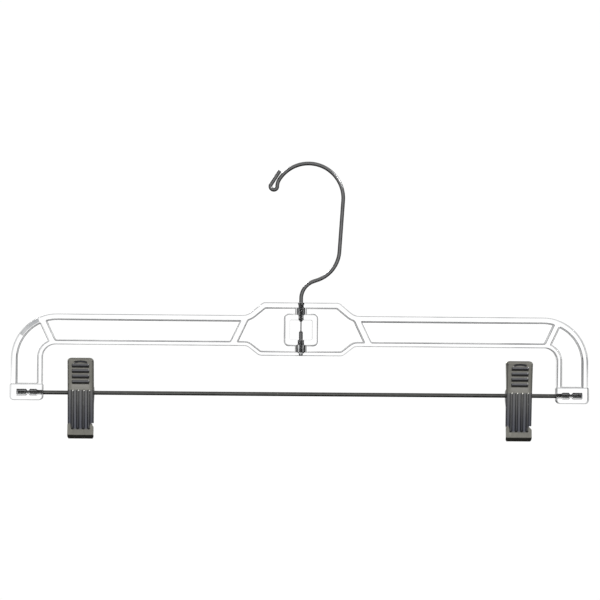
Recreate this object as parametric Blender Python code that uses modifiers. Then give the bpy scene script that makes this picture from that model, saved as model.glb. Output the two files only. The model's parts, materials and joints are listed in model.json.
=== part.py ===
"""Skirt and trouser hanger: a clear moulded frame on a swivelling wire hook, with a steel
cross bar and two sprung pinch clips that slide along the bar and swing on it.

Units are metres. +X runs along the hanger, -Y is its front and +Z is up. The origin is the
rail seat: the inside of the hook's crown, where the hanger hangs on its rail.
"""

import math

import bmesh
import bpy
from mathutils import Matrix, Vector

# ---- Layout ----
SWIVEL_X = -0.0041  # the hook's stem, and the middle of the frame
BAR_Z = -0.1411  # the cross bar's axis
CLIP_X = 0.1345  # each clip, from the middle of the frame
OVERRUN = 0.0010  # how far a cutter passes the wall that it cuts
WELD = 0.00001  # merge distance
ARC_STEP = math.radians(11.25)  # one facet of a rounded corner

# ---- Wire hook (its path runs in the XZ plane) ----
WIRE_R = 0.0012
CROWN_R = 0.0214  # the wire's axis round the rail
CROWN_END = 93.76  # degrees from the crown's top to the end of its arc
DROP = 0.0316  # straight run below the crown
ELBOW_R = 0.0200
ELBOW_END = 18.96  # degrees below level where the wire crosses back to the stem
NECK_R = 0.0113
TIP_START = 58.0  # degrees from the crown's top, on the open side
TIP_EASE_R = 0.0081
TIP_BEND_R = 0.0021
TIP_BEND = 212.3
TIP_LENGTH = 0.0101
STEM_END = 0.0257  # above the bar's axis
FLAT_TOP = 0.0450  # the coined flat that holds the frame up, above the bar's axis
FLAT_BOTTOM = 0.0390
FLAT_SHOULDER = 0.0010
FLAT_THICK = 0.0008
FLAT_WIDTH = 0.0050

# ---- Clear frame (from the swivel axis in x, and from the bar's axis in z) ----
RIB_DEPTH = 0.0070  # front to back
WEB_DEPTH = 0.0016
BRIDGE_HALF = 0.0233
BRIDGE_TOP = 0.0563
BRIDGE_FOOT_HALF = 0.0256
BRIDGE_BOTTOM = 0.0236
ARM_START = 0.0330
ARM_FOOT_START = 0.0332
ARM_TOP = 0.0483
ARM_BOTTOM = 0.0295
LEG_OUTER = 0.1773
LEG_INNER = 0.1582
LEG_FOOT = -0.0030
SHOULDER_R = 0.0279
OUTER_RIB = 0.0031
INNER_RIB = 0.0022
LEG_INNER_RIB = 0.0026
POCKET_FLOOR = 0.0050  # where the leg's pocket ends above the end block
POCKET_CORNER_R = 0.0008  # the least radius in a pocket's corner
BRIDGE_STRUT = ((0.0348, 0.0453), (0.0414, 0.0315), 0.0030)  # top, bottom, thickness
LEG_STRUT = ((0.1583, 0.0440), (0.1524, 0.0315), 0.0032)
RIM_SIZE = (0.0195, 0.0185)  # raised frame of the window round the stem
RIM_R = 0.0023
WINDOW_SIZE = (0.0138, 0.0122)
WINDOW_R = 0.0009
WINDOW_Z = 0.0395
BOSS_R = 0.0037
BOSS_TOP = 0.0559
STEM_BORE_R = 0.0016
COUNTERSINK_R = 0.0023
COUNTERSINK_DEPTH = 0.0018
FOOT_BORE_R = 0.0019  # blind, for the stem's end
FOOT_BORE_FLOOR = 0.0252
DRAIN_R = 0.0010
BLOCK_X = (0.1578, 0.1778)
BLOCK_Z = (-0.0047, 0.0053)
BLOCK_DEPTH = 0.0084
BLOCK_FOOT_R = 0.0025
BLOCK_TOP_R = 0.0005

# ---- Cross bar and its snap sockets ----
BAR_R = 0.00125
BAR_HALF = 0.1732
BAR_CHAMFER = 0.0004
WAIST_R = 0.00085
WAIST_X = (0.1661, 0.1674)
WAIST_TAPER = 0.0003
MOUTH_R = 0.00155  # the socket's bearing round the bar
MOUTH_END = 0.1610
CHAMBER_R = 0.0022
SNAP_R = 0.00115  # the ring that the bar's waist snaps into
SNAP_X = (0.1664, 0.1672)
SNAP_RAMP = 0.0008
SOCKET_END = 0.1738

# ---- Pinch clips (out from the bar's axis, and up from it) ----
SHEET = 0.0007
FRONT_WIDTH = 0.0160
BACK_WIDTH = 0.0140  # its flanges run inside the front jaw's
HANDLE_EDGE = (0.0076, 0.0214)
HANDLE_TOP = (0.0086, 0.0203, 0.0012)
WAISTLINE = (0.0053, 0.0026, 0.0060)
THROAT = (0.0026, -0.0186, 0.0010)
NOSE = (0.0036, -0.0257, 0.0005)
LIP = (0.00057, -0.0281)
FLANGE_TOP = 0.0188
FLANGE_BOTTOM = -0.0184
EAR = 0.0028
EAR_R = 0.0027
PIVOT_R = 0.00155
HANDLE_CORNER_R = 0.0024
NOTCH = ((0.0062, -0.0187), (0.0090, -0.0185), (0.0090, -0.0218))
BEAD_R = 0.0006
BEAD_SINK = 0.00003
FLUTE_X = (-0.0050, -0.00165, 0.00165, 0.0050)
FLUTE_Z = (0.0015, -0.0178)
GRIP_Z = (0.0171, 0.0138, 0.0105, 0.0071)
GRIP_HALF = 0.00525

# ---- Clip spring (torsion coil round the bar) ----
SPRING_WIRE_R = 0.00035
COIL_R = 0.00205
COIL_HALF = 0.00245
COIL_START = -16.2  # degrees round the bar from straight back
COIL_TURNS = 4.41
COIL_STEPS = 12  # wire points in one turn
LEG_END = (0.0062, 0.0150)  # out from the bar, and up

PARTS = "clip_hanger"
CUTTERS = "clip_hanger_cutters"

# An outline's plane and its extrusion: seen from the front, and from the side.
FROM_FRONT = Matrix.Rotation(math.pi / 2, 4, "X")


def from_side(out):
    """Takes an (out, up) outline to a jaw's side: out is -1 for the front jaw, 1 for the back."""
    return Matrix(((0, 0, out, 0), (out, 0, 0, 0), (0, 1, 0, 0), (0, 0, 0, 1)))


# ---- Scene ----
def clear_scene():
    for obj in list(bpy.data.objects):
        bpy.data.objects.remove(obj)


def make_collection(name):
    made = bpy.data.collections.new(name)
    bpy.context.scene.collection.children.link(made)
    return made


def make_material(name, colour, roughness, metallic=0.0, alpha=1.0):
    made = bpy.data.materials.new(name)
    made.use_nodes = True
    shader = made.node_tree.nodes["Principled BSDF"]
    shader.inputs["Base Color"].default_value = (*colour, 1.0)
    shader.inputs["Roughness"].default_value = roughness
    shader.inputs["Metallic"].default_value = metallic
    shader.inputs["Alpha"].default_value = alpha
    made.diffuse_color = (*colour, alpha)
    return made


def make_empty(name, location, parent=None):
    made = bpy.data.objects.new(name, None)
    made.location = location
    made.parent = parent
    bpy.data.collections[PARTS].objects.link(made)
    return made


def add_object(name, data, parent=None, collection=PARTS):
    made = bpy.data.objects.new(name, data)
    made.parent = parent
    bpy.data.collections[collection].objects.link(made)
    return made


# ---- Outlines ----
def rounded(corners, closed=True):
    """Points of an outline from its corners (a, b, radius): each radius becomes an arc."""
    points = []
    for i, corner in enumerate(corners):
        here = Vector(corner[:2])
        radius = corner[2] if len(corner) > 2 else 0.0
        if radius == 0.0 or (not closed and i in (0, len(corners) - 1)):
            points.append(here)
            continue
        back = (Vector(corners[i - 1][:2]) - here).normalized()
        ahead = (Vector(corners[(i + 1) % len(corners)][:2]) - here).normalized()
        half = back.angle(ahead) / 2
        centre = here + (back + ahead).normalized() * radius / math.sin(half)
        start = here + back * radius / math.tan(half) - centre
        turn = math.pi - 2 * half
        if back.cross(ahead) > 0:
            turn = -turn
        steps = max(1, math.ceil(abs(turn) / ARC_STEP))
        for k in range(steps + 1):
            points.append(centre + Matrix.Rotation(turn * k / steps, 2) @ start)
    return points


def inset(corners, walls):
    """Corners of an anticlockwise outline, moved in by each edge's wall; edge i ends at corner i + 1."""
    count = len(corners)
    lines = []
    for i in range(count):
        start, end = Vector(corners[i][:2]), Vector(corners[(i + 1) % count][:2])
        along = (end - start).normalized()
        lines.append((start + Vector((-along.y, along.x)) * walls[i], along))
    moved = []
    for i in range(count):
        (p, d), (q, e) = lines[i - 1], lines[i]
        meet = p + d * ((q - p).cross(e) / d.cross(e))
        wall = (walls[i - 1] + walls[i]) / 2
        radius = corners[i][2] - math.copysign(wall, d.cross(e))
        moved.append((meet.x, meet.y, max(radius, POCKET_CORNER_R)))
    return moved


def keep_side(points, start, end, offset, side):
    """The part of an outline beyond a line: side is 1 for its left, -1 for its right."""
    start, end = Vector(start), Vector(end)
    along = (end - start).normalized()
    normal = Vector((-along.y, along.x)) * side
    heights = [(p - start).dot(normal) - offset for p in points]
    kept = []
    for i, point in enumerate(points):
        if heights[i - 1] * heights[i] < 0:
            share = heights[i - 1] / (heights[i - 1] - heights[i])
            kept.append(points[i - 1].lerp(point, share))
        if heights[i] >= 0:
            kept.append(point)
    return kept


def parallel(points, gap):
    """An open line moved by gap to the right of its direction."""
    moved = []
    for i, point in enumerate(points):
        before = points[max(i - 1, 0)]
        after = points[min(i + 1, len(points) - 1)]
        sides = [(b - a).normalized() for a, b in ((before, point), (point, after)) if a != b]
        normals = [Vector((s.y, -s.x)) for s in sides]
        middle = (normals[0] + normals[-1]).normalized()
        moved.append(point + middle * gap / middle.dot(normals[0]))
    return moved


def box_outline(size, middle, radius):
    half_a, half_b = size[0] / 2, size[1] / 2
    a, b = middle
    signs = ((-1, -1), (1, -1), (1, 1), (-1, 1))
    return rounded([(a + i * half_a, b + k * half_b, radius) for i, k in signs])


# ---- Solids ----
def welded(mesh):
    """Joins loose caps to their walls and turns every face outwards."""
    shape = bmesh.new()
    shape.from_mesh(mesh)
    bmesh.ops.remove_doubles(shape, verts=shape.verts, dist=WELD)
    bmesh.ops.recalc_face_normals(shape, faces=shape.faces)
    shape.to_mesh(mesh)
    shape.free()
    return mesh


def solid_from(source, name, parent, collection):
    """A mesh object in place of a curve, or of a mesh with modifiers."""
    source.parent = None
    bpy.context.view_layer.update()
    evaluated = source.evaluated_get(bpy.context.evaluated_depsgraph_get())
    mesh = welded(bpy.data.meshes.new_from_object(evaluated))
    mesh.transform(source.matrix_world)
    bpy.data.objects.remove(source)
    return add_object(name, mesh, parent, collection)


def slab(name, outline, depth, to_place, parent, collection=CUTTERS):
    """A flat outline, thickened by depth about its own plane."""
    curve = bpy.data.curves.new(name, "CURVE")
    curve.dimensions = "2D"
    curve.fill_mode = "BOTH"
    curve.extrude = depth / 2
    spline = curve.splines.new("POLY")
    spline.points.add(len(outline) - 1)
    for point, (a, b) in zip(spline.points, outline):
        point.co = (a, b, 0.0, 1.0)
    spline.use_cyclic_u = True
    source = add_object(name + "_outline", curve, collection=collection)
    source.matrix_world = to_place
    return solid_from(source, name, parent, collection)


def turned(name, profile, sides, to_place, parent, collection=CUTTERS):
    """A profile of (radius, height) from top to bottom, turned about its axis."""
    mesh = bpy.data.meshes.new(name)
    points = [(radius, 0.0, height) for radius, height in profile]
    mesh.from_pydata(points, [(i, i + 1) for i in range(len(points) - 1)], [])
    source = add_object(name + "_profile", mesh, collection=collection)
    source.matrix_world = to_place
    screw = source.modifiers.new("turn", "SCREW")
    screw.steps = screw.render_steps = sides
    screw.use_merge_vertices = True
    screw.merge_threshold = WELD
    return solid_from(source, name, parent, collection)


def wire(name, points, radius, parent, collection=PARTS):
    """A round wire through the points, with closed ends."""
    curve = bpy.data.curves.new(name, "CURVE")
    curve.dimensions = "3D"
    curve.bevel_depth = radius
    curve.bevel_resolution = 2
    curve.use_fill_caps = True
    spline = curve.splines.new("POLY")
    spline.points.add(len(points) - 1)
    for point, place in zip(spline.points, points):
        point.co = (*place, 1.0)
    source = add_object(name + "_path", curve, collection=collection)
    return solid_from(source, name, parent, collection)


def combine(target, other, operation="DIFFERENCE"):
    other.hide_render = True
    other.display_type = "WIRE"
    boolean = target.modifiers.new(other.name, "BOOLEAN")
    boolean.operation = operation
    boolean.solver = "EXACT"
    boolean.object = other


def finish(obj, material, is_round=False):
    obj.data.materials.clear()
    obj.data.materials.append(material)
    if is_round:
        obj.data.shade_smooth()
        obj.data.set_sharp_from_angle(angle=math.radians(50))


# ---- Wire hook ----
class WirePath:
    """A flat path of straight runs and bends, as (x, z) points."""

    def __init__(self, x, z, heading):
        self.points = [Vector((x, z))]
        self.heading = math.radians(heading)

    def straight(self, length):
        ahead = Vector((math.cos(self.heading), math.sin(self.heading)))
        self.points.append(self.points[-1] + ahead * length)

    def bend(self, radius, turn):
        """Turns by that many degrees, left if positive."""
        turn = math.radians(turn)
        steps = math.ceil(abs(turn) / ARC_STEP)
        chord = 2 * radius * math.sin(abs(turn) / steps / 2)
        for _ in range(steps):
            self.heading += turn / steps / 2
            self.straight(chord)
            self.heading += turn / steps / 2


def hook_points():
    """The wire's axis, from its turned-back tip over the crown and down to the stem's end."""
    tip = WirePath(0.0, WIRE_R, 180)
    tip.bend(CROWN_R, TIP_START)
    tip.bend(TIP_EASE_R, 90 - TIP_START)
    tip.bend(TIP_BEND_R, -TIP_BEND)
    tip.straight(TIP_LENGTH)

    body = WirePath(0.0, WIRE_R, 0)
    body.bend(CROWN_R, -CROWN_END)
    body.straight(DROP)
    body.bend(ELBOW_R, -(180 - CROWN_END - ELBOW_END))
    slope = math.radians(ELBOW_END)
    neck_run = NECK_R * (1 - math.sin(slope))
    body.straight((body.points[-1].x - neck_run - SWIVEL_X) / math.cos(slope))
    body.bend(NECK_R, 90 - ELBOW_END)

    edges = (
        FLAT_TOP,
        FLAT_TOP - FLAT_SHOULDER,
        FLAT_BOTTOM + FLAT_SHOULDER,
        FLAT_BOTTOM,
        STEM_END,
    )
    stem = [Vector((SWIVEL_X, BAR_Z + height)) for height in edges]
    flat = tip.points[:0:-1] + body.points + stem
    return [(p.x, 0.0, p.y) for p in flat]


def coin_flat(mesh):
    """Squeezes the stem between its shoulders to a flat that is wider than the frame's bore."""
    top = BAR_Z + FLAT_TOP - FLAT_SHOULDER
    bottom = BAR_Z + FLAT_BOTTOM + FLAT_SHOULDER
    for vertex in mesh.vertices:
        if bottom - WELD <= vertex.co.z <= top + WELD:
            vertex.co.x = SWIVEL_X + (vertex.co.x - SWIVEL_X) * FLAT_THICK / (2 * WIRE_R)
            vertex.co.y *= FLAT_WIDTH / (2 * WIRE_R)


def build_hook(steel):
    hook = wire("wire_hook", hook_points(), WIRE_R, None)
    coin_flat(hook.data)
    finish(hook, steel, is_round=True)


# ---- Clear frame: its right half, mirrored ----
def frame_corners():
    """Anticlockwise corners of the frame's right half, from its underside at the middle."""
    middle = -OVERRUN
    return [
        (middle, BRIDGE_BOTTOM, 0.0),
        (BRIDGE_FOOT_HALF, BRIDGE_BOTTOM, 0.0050),
        (ARM_FOOT_START, ARM_BOTTOM, 0.0050),
        (LEG_INNER, ARM_BOTTOM, 0.0077),
        (LEG_INNER, LEG_FOOT, 0.0),
        (LEG_OUTER, LEG_FOOT, 0.0),
        (LEG_OUTER, ARM_TOP, SHOULDER_R),
        (ARM_START, ARM_TOP, 0.0090),
        (BRIDGE_HALF, BRIDGE_TOP, 0.0040),
        (middle, BRIDGE_TOP, 0.0),
    ]


def frame_pockets():
    """The thin-walled areas between the ribs: the bridge, the arm and the leg."""
    walls = [
        INNER_RIB,
        INNER_RIB,
        INNER_RIB,
        LEG_INNER_RIB,
        POCKET_FLOOR - LEG_FOOT,
        OUTER_RIB,
        OUTER_RIB,
        OUTER_RIB,
        OUTER_RIB,
        -OVERRUN,
    ]
    area = rounded(inset(frame_corners(), walls))
    top_a, bottom_a, thick_a = BRIDGE_STRUT
    top_b, bottom_b, thick_b = LEG_STRUT
    bridge = keep_side(area, top_a, bottom_a, thick_a / 2, -1)
    outboard = keep_side(area, top_a, bottom_a, thick_a / 2, 1)
    arm = keep_side(outboard, top_b, bottom_b, thick_b / 2, -1)
    leg = keep_side(area, top_b, bottom_b, thick_b / 2, 1)
    return {"bridge": bridge, "arm": arm, "leg": leg}


def add_pockets(frame, pivot):
    """Pockets from the front and from the back, down to the web."""
    depth = (RIB_DEPTH - WEB_DEPTH) / 2 + OVERRUN
    offset = (WEB_DEPTH + depth) / 2
    for name, outline in frame_pockets().items():
        for side, out in (("front", -1), ("back", 1)):
            to_place = Matrix.Translation((0, out * offset, 0)) @ FROM_FRONT
            cutter = slab(f"{side}_{name}_pocket", outline, depth, to_place, pivot)
            combine(frame, cutter)


def add_window(frame, pivot):
    middle = (0.0, WINDOW_Z)
    rim = slab("window_rim", box_outline(RIM_SIZE, middle, RIM_R), RIB_DEPTH, FROM_FRONT, pivot)
    combine(frame, rim, "UNION")
    return box_outline(WINDOW_SIZE, middle, WINDOW_R)


def add_swivel(frame, pivot):
    """Bosses above and below the window, with the bores that the hook's stem turns in."""
    window = add_window(frame, pivot)
    sides = 16
    window_top = WINDOW_Z + WINDOW_SIZE[1] / 2
    window_bottom = WINDOW_Z - WINDOW_SIZE[1] / 2
    here = Matrix.Identity(4)
    spans = {
        "top_boss": (BOSS_TOP, window_top - OVERRUN),
        "foot_boss": (window_bottom + OVERRUN, BRIDGE_BOTTOM + INNER_RIB / 2),
    }
    for name, (top, bottom) in spans.items():
        profile = [(0, top), (BOSS_R, top), (BOSS_R, bottom), (0, bottom)]
        combine(frame, turned(name, profile, sides, here, pivot), "UNION")
    through = RIB_DEPTH + 4 * OVERRUN
    combine(frame, slab("window", window, through, FROM_FRONT, pivot))
    above = BRIDGE_TOP + OVERRUN
    flare = (COUNTERSINK_R - STEM_BORE_R) / COUNTERSINK_DEPTH * OVERRUN
    stem_bore = [
        (0, above),
        (COUNTERSINK_R + flare, above),
        (STEM_BORE_R, BRIDGE_TOP - COUNTERSINK_DEPTH),
        (STEM_BORE_R, window_top - OVERRUN),
        (0, window_top - OVERRUN),
    ]
    combine(frame, turned("stem_bore", stem_bore, sides, here, pivot))
    foot_bore = [
        (0, window_bottom + OVERRUN),
        (FOOT_BORE_R, window_bottom + OVERRUN),
        (FOOT_BORE_R, FOOT_BORE_FLOOR),
        (DRAIN_R, FOOT_BORE_FLOOR),
        (DRAIN_R, BRIDGE_BOTTOM - OVERRUN),
        (0, BRIDGE_BOTTOM - OVERRUN),
    ]
    combine(frame, turned("foot_bore", foot_bore, sides, here, pivot))


def add_end_block(frame, pivot):
    """The block at the leg's foot, with the snap socket for the bar's end."""
    (left, right), (bottom, top) = BLOCK_X, BLOCK_Z
    outline = rounded(
        [
            (left, bottom, BLOCK_FOOT_R),
            (right, bottom, BLOCK_FOOT_R),
            (right, top, BLOCK_TOP_R),
            (left, top, BLOCK_TOP_R),
        ]
    )
    combine(frame, slab("end_block", outline, BLOCK_DEPTH, FROM_FRONT, pivot), "UNION")
    socket = [
        (0, SOCKET_END),
        (CHAMBER_R, SOCKET_END),
        (CHAMBER_R, SNAP_X[1] + SNAP_RAMP),
        (SNAP_R, SNAP_X[1]),
        (SNAP_R, SNAP_X[0]),
        (CHAMBER_R, SNAP_X[0] - SNAP_RAMP),
        (CHAMBER_R, MOUTH_END + SNAP_RAMP),
        (MOUTH_R, MOUTH_END),
        (MOUTH_R, left - OVERRUN),
        (0, left - OVERRUN),
    ]
    along_x = Matrix.Rotation(math.pi / 2, 4, "Y")
    combine(frame, turned("bar_socket", socket, 12, along_x, pivot))


def build_frame(plastic, pivot):
    frame = slab("hanger_frame", rounded(frame_corners()), RIB_DEPTH, FROM_FRONT, pivot, PARTS)
    add_pockets(frame, pivot)
    add_swivel(frame, pivot)
    add_end_block(frame, pivot)
    for boolean in frame.modifiers:
        boolean.solver = "MANIFOLD"  # EXACT leaves open seams where the window's rim joins the web
    mirror = frame.modifiers.new("other_half", "MIRROR")
    mirror.use_bisect_axis[0] = True
    mirror.bisect_threshold = WELD
    mirror.merge_threshold = WELD
    finish(frame, plastic)


# ---- Cross bar ----
def build_bar(steel, pivot):
    half = [
        (0, BAR_HALF),
        (BAR_R - BAR_CHAMFER, BAR_HALF),
        (BAR_R, BAR_HALF - BAR_CHAMFER),
        (BAR_R, WAIST_X[1] + WAIST_TAPER),
        (WAIST_R, WAIST_X[1]),
        (WAIST_R, WAIST_X[0]),
        (BAR_R, WAIST_X[0] - WAIST_TAPER),
    ]
    profile = half + [(radius, -x) for radius, x in reversed(half)]
    along_x = Matrix.Rotation(math.pi / 2, 4, "Y")
    finish(turned("cross_bar", profile, 16, along_x, pivot, PARTS), steel, is_round=True)


# ---- Pinch clips ----
def jaw_outlines():
    """(out, up) outlines: the whole jaw from the side, and the hollow between its flanges."""
    face = rounded([HANDLE_EDGE, HANDLE_TOP, WAISTLINE, THROAT, NOSE, LIP], closed=False)
    inner = parallel(face, SHEET)
    above = [p for p in inner if p.y > FLANGE_TOP]
    between = [p for p in inner if FLANGE_BOTTOM < p.y < FLANGE_TOP]
    below = [p for p in inner if p.y < FLANGE_BOTTOM]
    share_top = (FLANGE_TOP - above[-1].y) / (between[0].y - above[-1].y)
    share_bottom = (FLANGE_BOTTOM - between[-1].y) / (below[0].y - between[-1].y)
    top = above[-1].lerp(between[0], share_top)
    bottom = between[-1].lerp(below[0], share_bottom)
    flange = rounded(
        [
            bottom,
            (0.0007, FLANGE_BOTTOM),
            (0.0012, -0.0070),
            (-EAR, -EAR, EAR_R),
            (-EAR, EAR, EAR_R),
            (0.0029, 0.0040),
            (0.0062, FLANGE_TOP),
            top,
        ],
        closed=False,
    )
    side = face + below[::-1] + flange + above[::-1]
    clear = Vector((OVERRUN, OVERRUN))
    far = -EAR - 2 * OVERRUN
    hollow = [top + Vector((-clear.x, clear.y)), top, *between, bottom, bottom - clear]
    hollow += [Vector((far, FLANGE_BOTTOM - OVERRUN)), Vector((far, FLANGE_TOP + OVERRUN))]
    return side, hollow


def face_at(start, end, height):
    """The point of the jaw's outer face at a height, on its straight run from start to end."""
    start, end = Vector(start[:2]), Vector(end[:2])
    return start.lerp(end, (height - start.y) / (end.y - start.y))


def bead(name, ends, pivot):
    """A half-sunk round rib between two (x, y, z) points."""
    start, end = Vector(ends[0]), Vector(ends[1])
    length = (end - start).length
    shape = bmesh.new()
    bmesh.ops.create_cone(
        shape, cap_ends=True, segments=10, radius1=BEAD_R, radius2=BEAD_R, depth=length
    )
    turn = Vector((0, 0, 1)).rotation_difference(end - start).to_matrix().to_4x4()
    shape.transform(Matrix.Translation((start + end) / 2) @ turn)
    mesh = bpy.data.meshes.new(name)
    shape.to_mesh(mesh)
    shape.free()
    return add_object(name, mesh, pivot, CUTTERS)


def add_beads(jaw, name, out, pivot):
    """Upright flutes below the bar and grip ribs across the handle."""
    flute = [face_at(WAISTLINE, THROAT, height) for height in FLUTE_Z]
    for i, x in enumerate(FLUTE_X):
        ends = [(x, out * (p.x - BEAD_SINK), p.y) for p in flute]
        combine(jaw, bead(f"{name}_flute_{i + 1}", ends, pivot), "UNION")
    for i, height in enumerate(GRIP_Z):
        place = face_at(HANDLE_TOP, WAISTLINE, height)
        ends = [(x, out * (place.x - BEAD_SINK), height) for x in (-GRIP_HALF, GRIP_HALF)]
        combine(jaw, bead(f"{name}_grip_{i + 1}", ends, pivot), "UNION")


def corner_outline(half_width, side):
    """What rounding takes off one top corner of the handle, seen from the front."""
    top = HANDLE_EDGE[1]
    low = top - HANDLE_CORNER_R
    inner = half_width - HANDLE_CORNER_R
    outline = rounded(
        [
            (half_width, low),
            (half_width, top, HANDLE_CORNER_R),
            (inner, top),
            (inner, top + OVERRUN),
            (half_width + OVERRUN, top + OVERRUN),
            (half_width + OVERRUN, low),
        ]
    )
    return [Vector((p.x * side, p.y)) for p in outline]


def build_jaw(name, width, out, steel, pivot):
    """One stamped jaw: out is -1 for the front one, 1 for the back one."""
    side, hollow = jaw_outlines()
    to_place = from_side(out)
    jaw = slab(name, side, width, to_place, pivot, PARTS)
    combine(jaw, slab(name + "_hollow", hollow, width - 2 * SHEET, to_place, pivot))
    reach = width / 2 + OVERRUN
    hole = [(0, reach), (PIVOT_R, reach), (PIVOT_R, -reach), (0, -reach)]
    along_x = Matrix.Rotation(math.pi / 2, 4, "Y")
    combine(jaw, turned(name + "_pivot_hole", hole, 16, along_x, pivot))
    depth = 0.0200
    for k, corner_side in enumerate((-1, 1)):
        outline = corner_outline(width / 2, corner_side)
        combine(jaw, slab(f"{name}_corner_{k + 1}", outline, depth, FROM_FRONT, pivot))
    notch = [Vector(p) for p in NOTCH]
    combine(jaw, slab(name + "_notch", notch, depth, FROM_FRONT, pivot))
    add_beads(jaw, name, out, pivot)
    finish(jaw, steel)


def spring_points():
    """The coil round the bar, with a leg up to each handle."""
    sweep = -360 * COIL_TURNS
    steps = round(COIL_STEPS * COIL_TURNS)
    coil = []
    for i in range(steps + 1):
        share = i / steps
        angle = math.radians(COIL_START + sweep * share)
        x = COIL_HALF * (2 * share - 1)
        coil.append((x, COIL_R * math.cos(angle), COIL_R * math.sin(angle)))
    back_leg = (-COIL_HALF, LEG_END[0], LEG_END[1])
    front_leg = (COIL_HALF, -LEG_END[0], LEG_END[1])
    return [back_leg, *coil, front_leg]


def build_clip(side, x, jaw_steel, spring_steel, frame_pivot):
    pivot = make_empty(f"{side}_clip_pivot", (x, 0, 0), frame_pivot)
    build_jaw(f"{side}_front_jaw", FRONT_WIDTH, -1, jaw_steel, pivot)
    build_jaw(f"{side}_back_jaw", BACK_WIDTH, 1, jaw_steel, pivot)
    spring = wire(f"{side}_clip_spring", spring_points(), SPRING_WIRE_R, pivot)
    finish(spring, spring_steel, is_round=True)


def build_hanger():
    clear_scene()
    make_collection(PARTS)
    make_collection(CUTTERS)
    plastic = make_material("clear_plastic", (0.86, 0.89, 0.90), 0.08, alpha=0.30)
    hook_steel = make_material("hook_steel", (0.16, 0.16, 0.16), 0.32, metallic=1.0)
    bar_steel = make_material("bar_steel", (0.18, 0.18, 0.17), 0.30, metallic=1.0)
    clip_steel = make_material("clip_steel", (0.24, 0.24, 0.22), 0.38, metallic=1.0)
    spring_steel = make_material("spring_steel", (0.30, 0.30, 0.30), 0.30, metallic=1.0)

    build_hook(hook_steel)
    swivel = make_empty("frame_swivel", (SWIVEL_X, 0, BAR_Z))
    build_frame(plastic, swivel)
    build_bar(bar_steel, swivel)
    for side, x in (("left", -CLIP_X), ("right", CLIP_X)):
        build_clip(side, x, clip_steel, spring_steel, swivel)


build_hanger()
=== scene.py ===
"""Looks of the skirt and trouser hanger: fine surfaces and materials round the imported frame.

Units are metres. +X runs along the hanger, -Y is its front and +Z is up.
"""

import json
import math

import bmesh
import bpy
from mathutils import Matrix, Quaternion, Vector


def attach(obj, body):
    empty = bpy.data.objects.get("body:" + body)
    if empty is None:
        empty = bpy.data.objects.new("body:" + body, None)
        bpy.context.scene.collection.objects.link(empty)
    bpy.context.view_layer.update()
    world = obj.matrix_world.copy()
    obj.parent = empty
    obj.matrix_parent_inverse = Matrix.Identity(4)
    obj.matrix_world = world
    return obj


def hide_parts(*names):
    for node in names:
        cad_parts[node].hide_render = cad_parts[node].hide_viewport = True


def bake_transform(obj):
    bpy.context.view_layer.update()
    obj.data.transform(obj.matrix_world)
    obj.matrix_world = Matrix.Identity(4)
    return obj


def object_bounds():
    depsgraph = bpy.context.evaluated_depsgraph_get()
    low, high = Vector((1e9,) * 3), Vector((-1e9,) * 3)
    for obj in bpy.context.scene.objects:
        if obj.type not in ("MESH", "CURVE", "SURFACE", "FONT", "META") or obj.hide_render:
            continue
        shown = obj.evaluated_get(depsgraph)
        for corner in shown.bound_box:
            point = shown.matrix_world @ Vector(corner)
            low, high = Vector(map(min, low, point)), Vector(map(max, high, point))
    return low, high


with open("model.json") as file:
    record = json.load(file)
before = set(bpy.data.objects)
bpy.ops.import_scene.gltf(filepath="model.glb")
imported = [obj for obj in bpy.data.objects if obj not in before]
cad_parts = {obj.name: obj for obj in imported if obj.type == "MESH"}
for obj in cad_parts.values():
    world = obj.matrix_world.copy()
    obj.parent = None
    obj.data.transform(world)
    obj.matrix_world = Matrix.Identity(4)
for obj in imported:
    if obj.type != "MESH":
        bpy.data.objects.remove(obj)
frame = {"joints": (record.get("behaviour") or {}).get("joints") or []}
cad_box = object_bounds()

# ---- Places, from the frame ----
JOINTS = {joint["name"]: joint for joint in frame["joints"]}
SWIVEL_X, _, BAR_Z = JOINTS["hook_swivel"]["pos_m"]
CLIP_X = {side: JOINTS[f"{side}_clip_swing"]["pos_m"][0] for side in ("left", "right")}
ARC_STEP = math.radians(3.0)  # one facet of a rounded corner
WELD = 0.00001
SHARP = math.radians(40)  # creases sharper than this stay sharp

# ---- Wire hook (its path runs in the XZ plane) ----
WIRE_R = 0.0012
WIRE_SIDES = 28
WIRE_END = 0.00030  # rounding of a cut end
CROWN_R = 0.0214
CROWN_END = 93.76
DROP = 0.0316
ELBOW_R = 0.0200
ELBOW_END = 18.96
NECK_R = 0.0113
TIP_START = 58.0
TIP_EASE_R = 0.0081
TIP_BEND_R = 0.0021
TIP_BEND = 212.3
TIP_LENGTH = 0.0101
STEM_END = 0.0257
STEM_STEP = 0.00025
FLAT_TOP = 0.0456
FLAT_BOTTOM = 0.0380
FLAT_SHOULDER = 0.0013
FLAT_THICK = 0.0008
FLAT_WIDTH = 0.0050

# ---- Clear frame (from the swivel axis in x, and from the bar's axis in z) ----
RIB_FACE = 0.0035  # from the middle plane to a rib's face
WEB_FACE = 0.0008
BRIDGE_HALF = 0.0233
BRIDGE_TOP = 0.0563
BRIDGE_FOOT_HALF = 0.0256
BRIDGE_BOTTOM = 0.0236
ARM_START = 0.0330
ARM_FOOT_START = 0.0332
ARM_TOP = 0.0483
ARM_BOTTOM = 0.0295
LEG_OUTER = 0.1773
LEG_INNER = 0.1582
LEG_FOOT = -0.0030
SHOULDER_R = 0.0279
OUTER_RIB = 0.0031
INNER_RIB = 0.0022
LEG_INNER_RIB = 0.0026
POCKET_FLOOR = 0.0050
UNDERSIDE_R = 0.0050
LEG_INNER_R = 0.0077
ARM_START_R = 0.0090
BRIDGE_TOP_R = 0.0040
POCKET_CORNER_R = 0.0010
STRUT_EASE = 0.0011  # how far a strut's sharp corners are eased
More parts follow.
